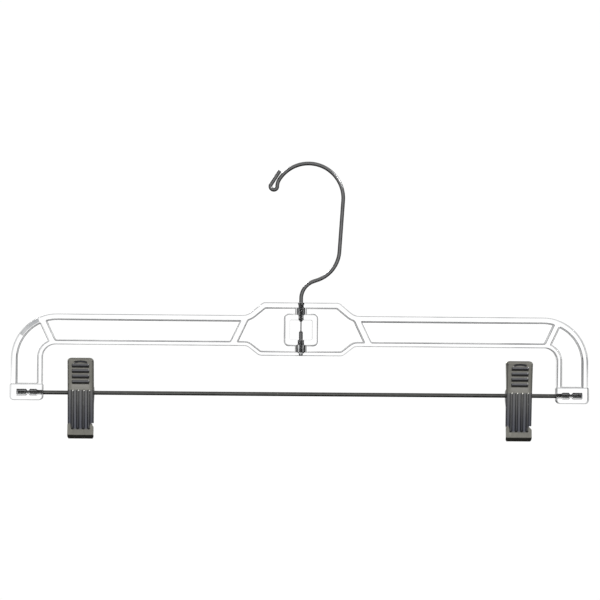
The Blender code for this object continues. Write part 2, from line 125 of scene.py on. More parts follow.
BRIDGE_STRUT = ((0.0348, 0.0453), (0.0414, 0.0315), 0.0030)
LEG_STRUT = ((0.1583, 0.0440), (0.1524, 0.0315), 0.0032)
EDGE_R = 0.0007  # the moulding's outer edges
POCKET_EDGE_R = 0.00035
FILLET_R = 0.0008  # where a rib meets the web
DRAFT = 0.00005
OUTER_EDGE_MARK = 0.8  # marks: painted shade, how much the clear plastic is tinted dark there for the dark lines of its edges
WALL_MARK = 0.25
FILLET_MARK = 0.75
WINDOW_EDGE_MARK = 0.35
RIM_SIZE = (0.0195, 0.0185)
RIM_R = 0.0023
WINDOW_SIZE = (0.0138, 0.0122)
WINDOW_R = 0.0009
WINDOW_Z = 0.0395
WINDOW_EDGE_R = 0.0003
BOSS_R = 0.0037
BOSS_NOSE_R = 0.0031
BOSS_TAPER = 0.0014
STEM_BORE_R = 0.0016
COUNTERSINK_R = 0.0023
COUNTERSINK_DEPTH = 0.0018
FOOT_BORE_R = 0.0019
FOOT_BORE_FLOOR = 0.0252
DRAIN_R = 0.0010
DRAIN_FLARE_R = 0.0015
BORE_SIDES = 48
BOSS_MARKS = (0.8, 0.1)  # the painted shade at the sides, and the share of it at front and back
BORE_MARKS = (1.0, 0.9)
MARK_FALL = 8  # how fast the painted shade fades from the sides to the front and back
BLOCK_X = (0.1578, 0.1778)
BLOCK_Z = (-0.0047, 0.0053)
BLOCK_FACE = 0.0042
BLOCK_FOOT_R = 0.0025
BLOCK_TOP_R = 0.0009
CHAMBER_R = 0.0022
MOUTH_R = 0.00155
MOUTH_END = 0.1610
SNAP_R = 0.00115
SNAP_X = (0.1664, 0.1672)
SNAP_RAMP = 0.0008
SOCKET_END = 0.1738
OVERRUN = 0.0010
PATCH_R = (0.0252, 0.0273)  # the textured patch on the left shoulder, about the shoulder's centre
PATCH_ANGLES = (34.0, 65.0)
PATCH_DEPTH = 0.00035
PATCH_RIDGE = 0.00018
PATCH_PITCH = 0.00055
# painted shade: the shoulder patch's recess and crests are tinted dark
PATCH_MARK = 1.0
PATCH_CREST_MARK = 0.6

# ---- Cross bar ----
BAR_R = 0.00125
BAR_HALF = 0.1732
BAR_CHAMFER = 0.0004
WAIST_R = 0.00085
WAIST_X = (0.1661, 0.1674)
WAIST_TAPER = 0.0003
BAR_SIDES = 32
BAR_STEP = 0.004

# ---- Pinch clips (out from the bar's axis, and up from it) ----
SHEET = 0.0007
FRONT_WIDTH = 0.0160
BACK_WIDTH = 0.0140
HANDLE_EDGE = (0.0076, 0.0214)
HANDLE_TOP = (0.0086, 0.0203, 0.0012)
WAISTLINE = (0.0053, 0.0026, 0.0060)
THROAT = (0.0026, -0.0186, 0.0010)
MIDDLE_THROAT = (0.0027, -0.0222, 0.0006)  # the fluted middle of the jaw turns lower down
MIDDLE_BLEND = 0.0022  # how wide the change from the sides to the middle is
NOSE = (0.0036, -0.0257, 0.0008)
LIP = (0.00057, -0.0281)
FLANGE_TOP = (0.0062, 0.0188)
FLANGE_BOTTOM = (0.0007, -0.0184)
EAR_TOP = (0.0029, 0.0040)
EAR_FOOT = (0.0012, -0.0070)
EAR = 0.0028
EAR_R = 0.0027
PIVOT_R = 0.00155
HANDLE_CORNER_R = 0.0024
NOTCH_TOP = (0.0062, -0.0187)
NOTCH_SLOPE = 0.90  # outwards for each step down
BEND_R = 0.0013
FLAT_RUN = 0.0003  # what is left of bend and flange where the sheet lies flat
ROW_STEP = 0.00025
ROW_LEAST = 0.00004
STAMP_STEP = 0.00012
PANEL_STEPS = 66
PANEL_STRIP = 0.0011  # the strip along a panel's edge that takes up the changes in its width
PANEL_STRIP_LEAST = 0.00025
BEND_STEPS = 6
FLANGE_STEPS = 5
FLUTE_X = (-0.0050, -0.00165, 0.00165, 0.0050)
FLUTE_Z = (0.0012, -0.0214)
FLUTE_R = 0.00112
FLUTE_HEIGHT = 0.00080
FLUTE_FOOT = 1.15  # the length of a flute's lower end, against its upper end
FLUTE_GROWTH = 0.7  # how much higher a flute stands at its lower end
GRIP_Z = (0.0169, 0.0136, 0.0103, 0.0069)
GRIP_HALF = 0.0048
GRIP_END = 0.0006
GRIP_RISE = 0.0012  # from a grip's crest up to its top edge
GRIP_FALL = 0.0015  # and down to its lower edge
GRIP_CREST = 0.15  # how round the crest is
GRIP_HEIGHT = 0.00075
STAMP_Z = 0.0190
STAMP_HALF = 0.0034
STAMP_BOW = 0.00045
STAMP_R = 0.00075
STAMP_DEPTH = -0.00075
# painted shade on the clips' plating:
PAINTED_SHADE_EDGE = 0.0012
PAINTED_SHADE_TOP = 0.56  # painted shade at the bar's height, growing to 1 at the throat
PAINTED_SHADE_GRIP = 0.9
GRIP_SPREAD = 1.7  # how far down its slopes a grip gets painted shade
FOOT_SPREAD = 4.0  # and a flute's foot
BRIGHT_Z = 0.0044  # painted light: the waist gets a lighter, frosted tone
BRIGHT_REACH = 0.0036
BRIGHT = 0.5

# ---- Clip spring ----
SPRING_WIRE_R = 0.00035
SPRING_SIDES = 12
COIL_R = 0.00205
COIL_HALF = 0.00245
COIL_START = -16.2
COIL_TURNS = 4.41
COIL_STEPS = 36
LEG_END = (0.0062, 0.0150)
LEG_STEPS = 12

# ---- Steels: light tone, dark tone, roughness, and how fine the tool streaks are along each axis ----
HOOK_LOOK = ((0.33, 0.33, 0.335), (0.20, 0.20, 0.20), 0.30, (30.0, 9.0, 1.0))
BAR_LOOK = ((0.22, 0.22, 0.21), (0.13, 0.13, 0.125), 0.28, (60.0, 2600.0, 2600.0))
SPRING_LOOK = ((0.42, 0.42, 0.42), (0.26, 0.26, 0.26), 0.28, (60.0, 9.0, 1.0))
CLIP_LOOK = ((0.42, 0.41, 0.365), (0.33, 0.325, 0.29), 0.40, (2400.0, 900.0, 90.0))
CLIP_PAINTED_SHADE = (0.145, 0.152, 0.190)  # the colour of the painted shade on the plating
# the colour of the painted light on the waist, frosted
CLIP_PAINTED_LIGHT = (0.68, 0.665, 0.62)

# ---- Stage ----
CAMERA_DISTANCE = 1.3
CAMERA_AZIMUTH = -1.745
CAMERA_ELEVATION = -1.60
CAMERA_ROLL = 0.449
CAMERA_TARGET = (-0.0048, 0.0, -0.0831)
CAMERA_LENS = 126.66  # millimetres
FLOOR_DROP = 0.38  # below the hanger's lowest point
FLOOR_R = 3.0
FLOOR_SIDES = 96
KEY_LIGHT = ((2.60, -1.40, 1.90), 0.50, 62.0)  # place from the hanger's middle, size, watts
BACK_LIGHT = ((-0.70, 1.10, 0.90), 0.40, 10.0)


# ---- Outlines ----
def rounded(corners, closed=True):
    """Points of an outline from its corners (a, b, radius): each radius becomes an arc."""
    points = []
    for i, corner in enumerate(corners):
        here = Vector(corner[:2])
        radius = corner[2] if len(corner) > 2 else 0.0
        if radius == 0.0 or (not closed and i in (0, len(corners) - 1)):
            points.append(here)
            continue
        back = (Vector(corners[i - 1][:2]) - here).normalized()
        ahead = (Vector(corners[(i + 1) % len(corners)][:2]) - here).normalized()
        half = back.angle(ahead) / 2
        centre = here + (back + ahead).normalized() * radius / math.sin(half)
        start = here + back * radius / math.tan(half) - centre
        turn = math.pi - 2 * half
        if back.cross(ahead) > 0:
            turn = -turn
        steps = max(1, math.ceil(abs(turn) / ARC_STEP))
        for k in range(steps + 1):
            points.append(centre + Matrix.Rotation(turn * k / steps, 2) @ start)
    return points


def inset(corners, walls):
    """Corners of an anticlockwise outline, moved in by each edge's wall; edge i ends at corner i + 1."""
    count = len(corners)
    lines = []
    for i in range(count):
        start, end = Vector(corners[i][:2]), Vector(corners[(i + 1) % count][:2])
        along = (end - start).normalized()
        lines.append((start + Vector((-along.y, along.x)) * walls[i], along))
    moved = []
    for i in range(count):
        (p, d), (q, e) = lines[i - 1], lines[i]
        meet = p + d * ((q - p).cross(e) / d.cross(e))
        wall = (walls[i - 1] + walls[i]) / 2
        radius = corners[i][2] - math.copysign(wall, d.cross(e))
        on_axis = corners[i][0] == 0.0
        moved.append((meet.x, meet.y, 0.0 if on_axis else max(radius, POCKET_CORNER_R)))
    return moved


def keep_side(points, strut, side):
    """The part of an outline beyond a strut's edge: side is 1 for the strut's left, -1 for its right."""
    start, end = Vector(strut[0]), Vector(strut[1])
    along = (end - start).normalized()
    normal = Vector((-along.y, along.x)) * side
    heights = [(p - start).dot(normal) - strut[2] / 2 for p in points]
    kept = []
    for i, point in enumerate(points):
        if heights[i - 1] * heights[i] < 0:
            share = heights[i - 1] / (heights[i - 1] - heights[i])
            kept.append(points[i - 1].lerp(point, share))
        if heights[i] >= 0:
            kept.append(point)
    return kept


def eased(points, reach, least_turn=math.radians(20), steps=8):
    """A closed outline with each sharp corner replaced by a curve that starts reach before it."""
    count = len(points)
    sharp = []
    for i, point in enumerate(points):
        before, after = point - points[i - 1], points[(i + 1) % count] - point
        if before.length > 0 and after.length > 0 and before.angle(after) > least_turn:
            sharp.append(i)

    def walk(i, step):
        """How many points are passed, and where the walk of length reach ends."""
        left, passed = reach, 0
        while True:
            here, there = points[(i + step * passed) % count], points[(i + step * (passed + 1)) % count]
            run = (there - here).length
            if run > left:
                return passed, here.lerp(there, left / run)
            left -= run
            passed += 1

    curves, dropped = {}, set()
    for i in sharp:
        back, start = walk(i, -1)
        on, end = walk(i, 1)
        corner = points[i]
        dropped.update((i + k) % count for k in range(-back, on + 1))
        shares = [k / steps for k in range(steps + 1)]
        curves[i] = [start.lerp(corner, t).lerp(corner.lerp(end, t), t) for t in shares]
    made = []
    for i, point in enumerate(points):
        if i in curves:
            made += curves[i]
        elif i not in dropped:
            made.append(point)
    return made


def offset_loop(points, gap):
    """A closed anticlockwise outline moved outwards by gap."""
    moved = []
    for i, point in enumerate(points):
        before, after = points[i - 1], points[(i + 1) % len(points)]
        a, b = (point - before).normalized(), (after - point).normalized()
        first, second = Vector((a.y, -a.x)), Vector((b.y, -b.x))
        middle = (first + second).normalized()
        moved.append(point + middle * gap / max(middle.dot(first), 0.5))
    return moved


def without_repeats(points, least=0.00002):
    """A closed outline without points that lie on their neighbour."""
    return [p for i, p in enumerate(points) if (p - points[i - 1]).length > least]


def mirrored(points):
    """An anticlockwise outline in the other half."""
    return [Vector((-p.x, p.y)) for p in reversed(points)]


def both_halves(half):
    """A closed outline from its right half, given from the axis at the bottom to the axis at the top."""
    return half + mirrored(half[1:-1])


def box_outline(size, middle, radius):
    half_a, half_b = size[0] / 2, size[1] / 2
    a, b = middle
    signs = ((-1, -1), (1, -1), (1, 1), (-1, 1))
    return rounded([(a + i * half_a, b + k * half_b, radius) for i, k in signs])


def quarter(centre, radius, start, end, steps=5):
    """Points of an arc between two angles, in degrees."""
    angles = [math.radians(start + (end - start) * k / steps) for k in range(steps + 1)]
    return [(centre[0] + radius * math.cos(a), centre[1] + radius * math.sin(a)) for a in angles]


def at_height(points, height):
    """How far out an open (out, up) line is at a height; the line runs steadily down."""
    for a, b in zip(points, points[1:]):
        if a.y >= height >= b.y and a.y > b.y:
            return a.lerp(b, (a.y - height) / (a.y - b.y)).x
    return points[0].x if height > points[0].y else points[-1].x


def smooth_share(value, start, end):
    """0 before start, 1 after end, and smooth between them."""
    share = min(1.0, max(0.0, (value - start) / (end - start)))
    return share * share * (3 - 2 * share)


# ---- Meshes ----
def in_frame(point, depth):
    """A point of the clear frame's outline, at a depth in front of (-) or behind the middle plane."""
    return Vector((SWIVEL_X + point.x, depth, BAR_Z + point.y))


def add_loop(shape, points, depth, mark):
    """A loop of vertices, marked with the painted shade that the clear plastic gets there."""
    layer = shape.verts.layers.float.get("turned") or shape.verts.layers.float.new("turned")
    loop = [shape.verts.new(in_frame(p, depth)) for p in points]
    for vertex in loop:
        vertex[layer] = mark
    return loop


def bridge_loops(shape, first, second):
    """A band of faces between two closed loops of the same count."""
    count = len(first)
    for i in range(count):
        k = (i + 1) % count
        shape.faces.new((first[i], first[k], second[k], second[i]))


def fill_between(shape, loops):
    """A flat face of triangles inside the first loop and round the others."""
    edges = []
    for loop in loops:
        for i, vertex in enumerate(loop):
            edges.append(shape.edges.get((loop[i - 1], vertex)))
    bmesh.ops.triangle_fill(shape, use_beauty=True, edges=edges)


def stack(shape, outline, profile):
    """Loops of an outline at each (offset, depth, mark) of a profile, joined in order."""
    loops = [add_loop(shape, offset_loop(outline, gap), depth, mark) for gap, depth, mark in profile]
    for first, second in zip(loops, loops[1:]):
        bridge_loops(shape, first, second)
    return loops[0], loops[-1]


def to_object(name, shape, closed=True):
    mesh = bpy.data.meshes.new(name)
    if closed:
        bmesh.ops.recalc_face_normals(shape, faces=shape.faces)
    shape.to_mesh(mesh)
    shape.free()
    made = bpy.data.objects.new(name, mesh)
    bpy.context.scene.collection.objects.link(made)
    return made


def revolved(name, profile, sides, to_place, marks=(0.0, 0.0)):
    """A closed solid from a profile of (radius, height), turned about its axis; both ends lie on the axis.

    The marks are the painted shade at its sides, along local X, and the share of it that is left at front
    and back.
    """
    shape = bmesh.new()
    layer = shape.verts.layers.float.new("turned")
    angles = [2 * math.pi * k / sides for k in range(sides)]
    rings = []
    for radius, height in profile:
        around = [(radius * math.cos(a), radius * math.sin(a), height) for a in angles]
        rings.append([shape.verts.new(place) for place in (around if radius else [(0, 0, height)])])
    for first, second in zip(rings, rings[1:]):
        for i in range(sides):
            k = (i + 1) % sides
            corners = [first[i % len(first)], first[k % len(first)]]
            corners += [second[k % len(second)], second[i % len(second)]]
            shape.faces.new(list(dict.fromkeys(corners)))
    most, front = marks
    for vertex in shape.verts:
        away = vertex.co.xy.length
        # painted shade, strongest at the sides along local X
        turned = (abs(vertex.co.x) / away) ** MARK_FALL if away else 0.0
        vertex[layer] = most * (front + (1 - front) * turned)
    shape.transform(to_place)
    return to_object(name, shape)


def settle(obj):
    """Turns an object's modifiers into its mesh, and removes their cutters."""
    bpy.context.view_layer.update()
    cutters = {m.object for m in obj.modifiers if m.type == "BOOLEAN"}
    evaluated = obj.evaluated_get(bpy.context.evaluated_depsgraph_get())
    mesh = bpy.data.meshes.new_from_object(evaluated)
    obj.modifiers.clear()
    obj.data = mesh
    for cutter in cutters:
        bpy.data.objects.remove(cutter)


def combine(target, other, operation="DIFFERENCE", solver="MANIFOLD"):
    boolean = target.modifiers.new(other.name, "BOOLEAN")
    boolean.operation = operation
    boolean.solver = solver
    boolean.object = other


def show(piece, material, node, body=None):
    """Finishes a piece: its material, its shading, the CAD node it stands for and its body."""
    piece.data.materials.clear()
    piece.data.materials.append(material)
    piece.data.shade_smooth()
    piece.data.set_sharp_from_angle(angle=SHARP)
    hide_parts(node)
    if body:
        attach(piece, body)


def sweep(name, path, radius, sides, shape_of=None, first_normal=(0, 1, 0)):
    """A wire along 3-D points, with eased ends; shape_of(point) scales it along and across its normal."""
    ease = WIRE_END / WIRE_R
    ends = [(0.0, 0.0), (0.0, 1 - ease)]
    ends += [(ease * (1 - math.cos(a)), 1 - ease * (1 - math.sin(a))) for a in (math.pi / 6, math.pi / 3)]
    stations = []
    start, first = path[0], (path[1] - path[0]).normalized()
    finish, last = path[-1], (path[-1] - path[-2]).normalized()
    for run, scale in ends:
        stations.append((start + first * run * radius, first, scale))
    for i, point in enumerate(path[1:-1], 1):
        stations.append((point, (path[i + 1] - path[i - 1]).normalized(), 1.0))
    for run, scale in reversed(ends):
        stations.append((finish - last * run * radius, last, scale))

    shape = bmesh.new()
    layer = shape.loops.layers.uv.new("UVMap")
    normal, length, rings, lengths = Vector(first_normal), 0.0, [], []
    for i, (point, along, scale) in enumerate(stations):
        normal = (normal - along * normal.dot(along)).normalized()
        side = along.cross(normal)
        if i:
            length += (point - stations[i - 1][0]).length
        lengths.append(length)
        wide, thin = shape_of(point) if shape_of else (1.0, 1.0)
        ring = []
        for k in range(sides if scale else 1):
            angle = 2 * math.pi * k / sides
            reach = normal * math.cos(angle) * wide + side * math.sin(angle) * thin
            ring.append(shape.verts.new(point + reach * radius * scale))
        rings.append(ring)
    for i, pair in enumerate(zip(rings, rings[1:])):
        for k in range(sides):
            corners = {}
            for row, turn in ((0, k), (0, k + 1), (1, k + 1), (1, k)):
                vertex = pair[row][turn % sides % len(pair[row])]
                corners[vertex] = (lengths[i + row], turn / sides)
            face = shape.faces.new(list(corners))
            for loop, place in zip(face.loops, corners.values()):
                loop[layer].uv = place
    return to_object(name, shape)


# ---- Wire hook ----
class WirePath:
    """A flat path of straight runs and bends, as (x, z) points."""

    def __init__(self, x, z, heading):
        self.points = [Vector((x, z))]
        self.heading = math.radians(heading)

    def straight(self, length):
        ahead = Vector((math.cos(self.heading), math.sin(self.heading)))
        self.points.append(self.points[-1] + ahead * length)

    def bend(self, radius, turn):
        """Turns by that many degrees, left if positive."""
        turn = math.radians(turn)
        steps = math.ceil(abs(turn) / ARC_STEP)
        chord = 2 * radius * math.sin(abs(turn) / steps / 2)
        for _ in range(steps):
            self.heading += turn / steps / 2
            self.straight(chord)
            self.heading += turn / steps / 2


def hook_points():
    """The wire's axis, from its turned-back tip over the crown and down to the stem's end."""
    tip = WirePath(0.0, WIRE_R, 180)
    tip.bend(CROWN_R, TIP_START)
    tip.bend(TIP_EASE_R, 90 - TIP_START)
    tip.bend(TIP_BEND_R, -TIP_BEND)
    tip.straight(TIP_LENGTH)

    body = WirePath(0.0, WIRE_R, 0)
    body.bend(CROWN_R, -CROWN_END)
    body.straight(DROP)
    body.bend(ELBOW_R, -(180 - CROWN_END - ELBOW_END))
    slope = math.radians(ELBOW_END)
    neck_run = NECK_R * (1 - math.sin(slope))
    body.straight((body.points[-1].x - neck_run - SWIVEL_X) / math.cos(slope))
    body.bend(NECK_R, 90 - ELBOW_END)

    stem = []
    height = FLAT_TOP + FLAT_SHOULDER
    while height > STEM_END:
        stem.append(Vector((SWIVEL_X, BAR_Z + height)))
        height -= STEM_STEP
    stem.append(Vector((SWIVEL_X, BAR_Z + STEM_END)))
    flat = tip.points[:0:-1] + body.points + stem
    return [Vector((p.x, 0.0, p.y)) for p in flat]


def coined(point):
    """The stem's section there, as scales: wider front to back and thinner across where it is coined."""
    height = point.z - BAR_Z
    if not FLAT_BOTTOM < height < FLAT_TOP or abs(point.x - SWIVEL_X) > WELD:
        return 1.0, 1.0
    share = smooth_share(min(FLAT_TOP - height, height - FLAT_BOTTOM), 0.0, FLAT_SHOULDER)
    wide, thin = FLAT_WIDTH / (2 * WIRE_R), FLAT_THICK / (2 * WIRE_R)
    return 1 + (wide - 1) * share, 1 + (thin - 1) * share


def build_hook(material):
    hook = sweep("hook_wire", hook_points(), WIRE_R, WIRE_SIDES, coined)
    show(hook, material, "wire_hook", "hook")


# ---- Clear frame ----
def frame_corners():
    """Anticlockwise corners of the frame's right half, from its underside at the middle."""
    return [
        (0.0, BRIDGE_BOTTOM, 0.0),
        (BRIDGE_FOOT_HALF, BRIDGE_BOTTOM, UNDERSIDE_R),
        (ARM_FOOT_START, ARM_BOTTOM, UNDERSIDE_R),
        (LEG_INNER, ARM_BOTTOM, LEG_INNER_R),
        (LEG_INNER, LEG_FOOT, 0.0),
        (LEG_OUTER, LEG_FOOT, 0.0),
        (LEG_OUTER, ARM_TOP, SHOULDER_R),
        (ARM_START, ARM_TOP, ARM_START_R),
        (BRIDGE_HALF, BRIDGE_TOP, BRIDGE_TOP_R),
        (0.0, BRIDGE_TOP, 0.0),
    ]


def frame_pockets():
    """Closed outlines of the areas between the ribs: the bridge, both arms and both legs."""
    walls = [INNER_RIB] * 3 + [LEG_INNER_RIB, POCKET_FLOOR - LEG_FOOT] + [OUTER_RIB] * 4 + [0.0]
    area = rounded(inset(frame_corners(), walls))
    bridge = keep_side(area, BRIDGE_STRUT, -1)
    arm = keep_side(keep_side(area, BRIDGE_STRUT, 1), LEG_STRUT, -1)
    leg = keep_side(area, LEG_STRUT, 1)
    on_axis = min(range(len(bridge)), key=lambda i: (abs(bridge[i].x) > WELD, bridge[i].y))
    bridge = bridge[on_axis:] + bridge[:on_axis]
    outlines = [both_halves(bridge), arm, leg, mirrored(arm), mirrored(leg)]
    return [without_repeats(eased(points, STRUT_EASE)) for points in outlines]


def turned_share(k, count):
    """The share of painted shade at point k of a rounded edge or fillet: 0 at both ends, 1 in the middle.
    """
    return math.sqrt(math.sin(math.pi * k / (count - 1)) if 0 < k < count - 1 else 0.0)


def wall_profile(out, side):
    """(offset, depth, mark) down a wall, from the rib's face to the web; out is -1 round the rim."""
    lip = quarter((POCKET_EDGE_R, RIB_FACE - POCKET_EDGE_R), POCKET_EDGE_R, 90, 180)
    foot = quarter((-DRAFT - FILLET_R, WEB_FACE + FILLET_R), FILLET_R, 0, -90, steps=8)
    marks = [WALL_MARK * k / (len(lip) - 1) for k in range(len(lip))] + [WALL_MARK]
    marks += [FILLET_MARK * turned_share(k, len(foot)) for k in range(1, len(foot))]
    return [(out * gap, side * depth, mark) for (gap, depth), mark in zip(lip + foot, marks)]


def edge_profile(face, radius, sign=1, draft=0.0, mark=0.0):
    """Rounded edges at both faces of a wall, with the parting line in its middle."""
    arc = quarter((0, face - radius), radius, 90, 0)
    marks = [mark * turned_share(k, len(arc)) for k in range(len(arc))]
    front = [(sign * (x - radius), -y, m) for (x, y), m in zip(arc, marks)]
    parting = [(sign * draft, 0.0, 0.0)] if draft else []
    return front + parting + [(gap, -depth, m) for gap, depth, m in reversed(front)]


def add_moulding(shape):
    """The ribs, webs and window of the frame, as one closed skin."""
    outer = without_repeats(both_halves(rounded(frame_corners(), closed=False)))
    pockets = frame_pockets()
    middle = (0.0, WINDOW_Z)
    rim = box_outline(RIM_SIZE, middle, RIM_R)
    window = box_outline(WINDOW_SIZE, middle, WINDOW_R)
    outer_edge = edge_profile(RIB_FACE, EDGE_R, 1, DRAFT, OUTER_EDGE_MARK)
    window_edge = edge_profile(RIB_FACE, WINDOW_EDGE_R, -1, DRAFT, WINDOW_EDGE_MARK)
    faces = {"outer": stack(shape, outer, outer_edge), "window": stack(shape, window, window_edge)}
    for k, side in enumerate((-1, 1)):
        ribs, webs = [], []
        for outline in pockets:
            top, floor = stack(shape, outline, wall_profile(1, side))
            ribs.append(top)
            webs.append(floor)
        rim_top, rim_foot = stack(shape, rim, wall_profile(-1, side))
        fill_between(shape, [faces["outer"][k], *ribs])
        fill_between(shape, [rim_top, faces["window"][k]])
        fill_between(shape, [webs[0], rim_foot])
        for web in webs[1:]:
            fill_between(shape, [web])


def along_bar(x, side=1):
    """Lays a revolved solid's axis along the bar, pointing to one side from a place on it."""
    return Matrix.Translation((x, 0, BAR_Z)) @ Matrix.Rotation(side * math.pi / 2, 4, "Y")


def add_swivel(moulding):
    """Bosses above and below the window, with the bores that the hook's stem turns in."""
    window_top = WINDOW_Z + WINDOW_SIZE[1] / 2
    window_bottom = WINDOW_Z - WINDOW_SIZE[1] / 2
    rim_top = WINDOW_Z + RIM_SIZE[1] / 2
    rib_top = BRIDGE_TOP - OUTER_RIB / 2
    rib_bottom = BRIDGE_BOTTOM + INNER_RIB / 2
    top_boss = [
        (0, rib_top),
        (BOSS_R, rib_top),
        (BOSS_R, rim_top - BOSS_TAPER / 2),
        (BOSS_NOSE_R, rim_top - BOSS_TAPER * 1.5),
        (BOSS_NOSE_R, window_top + EDGE_R),
        (0, window_top + EDGE_R),
    ]
    foot_boss = [
        (0, window_bottom - EDGE_R),
        (BOSS_R, window_bottom - EDGE_R),
        (BOSS_R, rib_bottom),
        (0, rib_bottom),
    ]
    place = Matrix.Translation((SWIVEL_X, 0, BAR_Z))
    combine(moulding, revolved("top_boss", top_boss, BORE_SIDES, place, BOSS_MARKS), "UNION")
    combine(moulding, revolved("foot_boss", foot_boss, BORE_SIDES, place, BOSS_MARKS), "UNION")
    above, below = BRIDGE_TOP + OVERRUN, BRIDGE_BOTTOM - OVERRUN
    flare = (COUNTERSINK_R - STEM_BORE_R) / COUNTERSINK_DEPTH * OVERRUN
    stem_bore = [
        (0, above),
        (COUNTERSINK_R + flare, above),
        (STEM_BORE_R, BRIDGE_TOP - COUNTERSINK_DEPTH),
        (STEM_BORE_R, window_top - OVERRUN),
        (0, window_top - OVERRUN),
    ]
    foot_bore = [
        (0, window_bottom + OVERRUN),
        (FOOT_BORE_R, window_bottom + OVERRUN),
        (FOOT_BORE_R, FOOT_BORE_FLOOR),
        (DRAIN_R, FOOT_BORE_FLOOR),
        (DRAIN_FLARE_R, BRIDGE_BOTTOM),
        (DRAIN_FLARE_R, below),
        (0, below),
    ]
    combine(moulding, revolved("stem_bore", stem_bore, BORE_SIDES, place, BORE_MARKS))
    combine(moulding, revolved("foot_bore", foot_bore, BORE_SIDES, place, BORE_MARKS))


def add_end_blocks(moulding):
    """The block at each leg's foot, with the snap socket for the bar's end."""
    (left, right), (bottom, top) = BLOCK_X, BLOCK_Z
    corners = [
        (left, bottom, BLOCK_FOOT_R),
        (right, bottom, BLOCK_FOOT_R),
        (right, top, BLOCK_TOP_R),
        (left, top, BLOCK_TOP_R),
    ]
    outline = without_repeats(rounded(corners))
    profile = edge_profile(BLOCK_FACE, EDGE_R, mark=OUTER_EDGE_MARK)
    socket = [
        (0, SOCKET_END),
        (CHAMBER_R, SOCKET_END),
        (CHAMBER_R, SNAP_X[1] + SNAP_RAMP),
        (SNAP_R, SNAP_X[1]),
        (SNAP_R, SNAP_X[0]),
        (CHAMBER_R, SNAP_X[0] - SNAP_RAMP),
        (CHAMBER_R, MOUTH_END + SNAP_RAMP),
        (MOUTH_R, MOUTH_END),
        (MOUTH_R, left - OVERRUN),
        (0, left - OVERRUN),
    ]
    for side in (-1, 1):
        shape = bmesh.new()
        placed = outline if side == 1 else mirrored(outline)
        first, last = stack(shape, placed, profile)
        fill_between(shape, [first])
        fill_between(shape, [last])
        combine(moulding, to_object(f"end_block_{side}", shape), "UNION")
    for side in (-1, 1):
        place = along_bar(SWIVEL_X, side)
        combine(moulding, revolved(f"bar_socket_{side}", socket, BORE_SIDES, place, BORE_MARKS))


def add_patch(moulding):
    """A shallow recess with fine cross ridges in the front face of the left shoulder."""
    centre = Vector((SHOULDER_R - LEG_OUTER, ARM_TOP - SHOULDER_R))
    start, end = (math.radians(a) for a in PATCH_ANGLES)
    ridges = round((end - start) * sum(PATCH_R) / 2 / PATCH_PITCH)
    shape = bmesh.new()
    loops = []
    for i in range(2 * ridges + 1):
        angle = start + (end - start) * i / (2 * ridges)
        out = Vector((-math.cos(angle), math.sin(angle)))
        inner, outer = (centre + out * radius for radius in PATCH_R)
        crest = i % 2
        floor = PATCH_DEPTH - RIB_FACE - PATCH_RIDGE * crest
        low = add_loop(shape, (inner, outer), floor, PATCH_CREST_MARK if crest else PATCH_MARK)
        loops.append(low + add_loop(shape, (outer, inner), -RIB_FACE - OVERRUN, PATCH_MARK))
    for first, second in zip(loops, loops[1:]):
        bridge_loops(shape, first, second)
    shape.faces.new(loops[0])
    shape.faces.new(loops[-1][::-1])
    combine(moulding, to_object("shoulder_patch", shape))


def build_frame(material):
    shape = bmesh.new()
    add_moulding(shape)
    moulding = to_object("frame_moulding", shape)
    add_swivel(moulding)
    add_end_blocks(moulding)
    add_patch(moulding)
    settle(moulding)
    show(moulding, material, "hanger_frame", "frame")
    weighted = moulding.modifiers.new("weighted_normals", "WEIGHTED_NORMAL")
    weighted.keep_sharp = True


# ---- Cross bar ----
def build_bar(material):
    half = [
        (0.0, BAR_HALF),
        (BAR_R - BAR_CHAMFER, BAR_HALF),
        (BAR_R, BAR_HALF - BAR_CHAMFER),
        (BAR_R, WAIST_X[1] + WAIST_TAPER),
        (WAIST_R, WAIST_X[1]),
        (WAIST_R, WAIST_X[0]),
        (BAR_R, WAIST_X[0] - WAIST_TAPER),
    ]
    steps = math.floor(half[-1][1] / BAR_STEP)
    between = [(BAR_R, half[-1][1] * k / steps) for k in range(steps - 1, -steps, -1)]
    profile = half + between + [(radius, -x) for radius, x in reversed(half)]
    bar = revolved("clip_bar", profile, BAR_SIDES, along_bar(SWIVEL_X))
    show(bar, material, "cross_bar", "frame")


# ---- Pinch clips ----
def flange_edge():
    """The (out, up) line of a side flange's free edge, from its top down, with the ear round the bar."""
    ear = [EAR_TOP, (-EAR, EAR, EAR_R), (-EAR, -EAR, EAR_R), EAR_FOOT]
    return rounded([FLANGE_TOP, *ear, FLANGE_BOTTOM], closed=False)


def bump(distance, reach):
    """1 on the middle of a pressed form, falling smoothly to 0 at its edge."""
    return 0.5 + 0.5 * math.cos(math.pi * min(1.0, distance / reach))


def ridge(rise):
    """1 on the crest of a grip, falling to 0 at its edges: more gently above the crest than below it."""
    share = min(1.0, rise / GRIP_RISE if rise > 0 else -rise / GRIP_FALL)
    crest = math.hypot(share, GRIP_CREST) - GRIP_CREST
    return 1 - crest / (math.hypot(1.0, GRIP_CREST) - GRIP_CREST)


def pressed(x, height):
    """How far the sheet is pressed out at a place on the jaw's face."""
    flute = on_flute(x, height) * (1 + FLUTE_GROWTH * smooth_share(-height, 0.0, -FLUTE_Z[1]))
    return flute * FLUTE_HEIGHT + on_grip(x, height) * GRIP_HEIGHT + in_stamp(x, height) * STAMP_DEPTH


def on_flute(x, height):
    beyond = max(0.0, height - FLUTE_Z[0], (FLUTE_Z[1] - height) / FLUTE_FOOT)
    return max(bump(math.hypot(x - middle, beyond), FLUTE_R) for middle in FLUTE_X)


def on_grip(x, height):
    return max(ridge(height - crest) for crest in GRIP_Z) * bump(max(0.0, abs(x) - GRIP_HALF), GRIP_END)


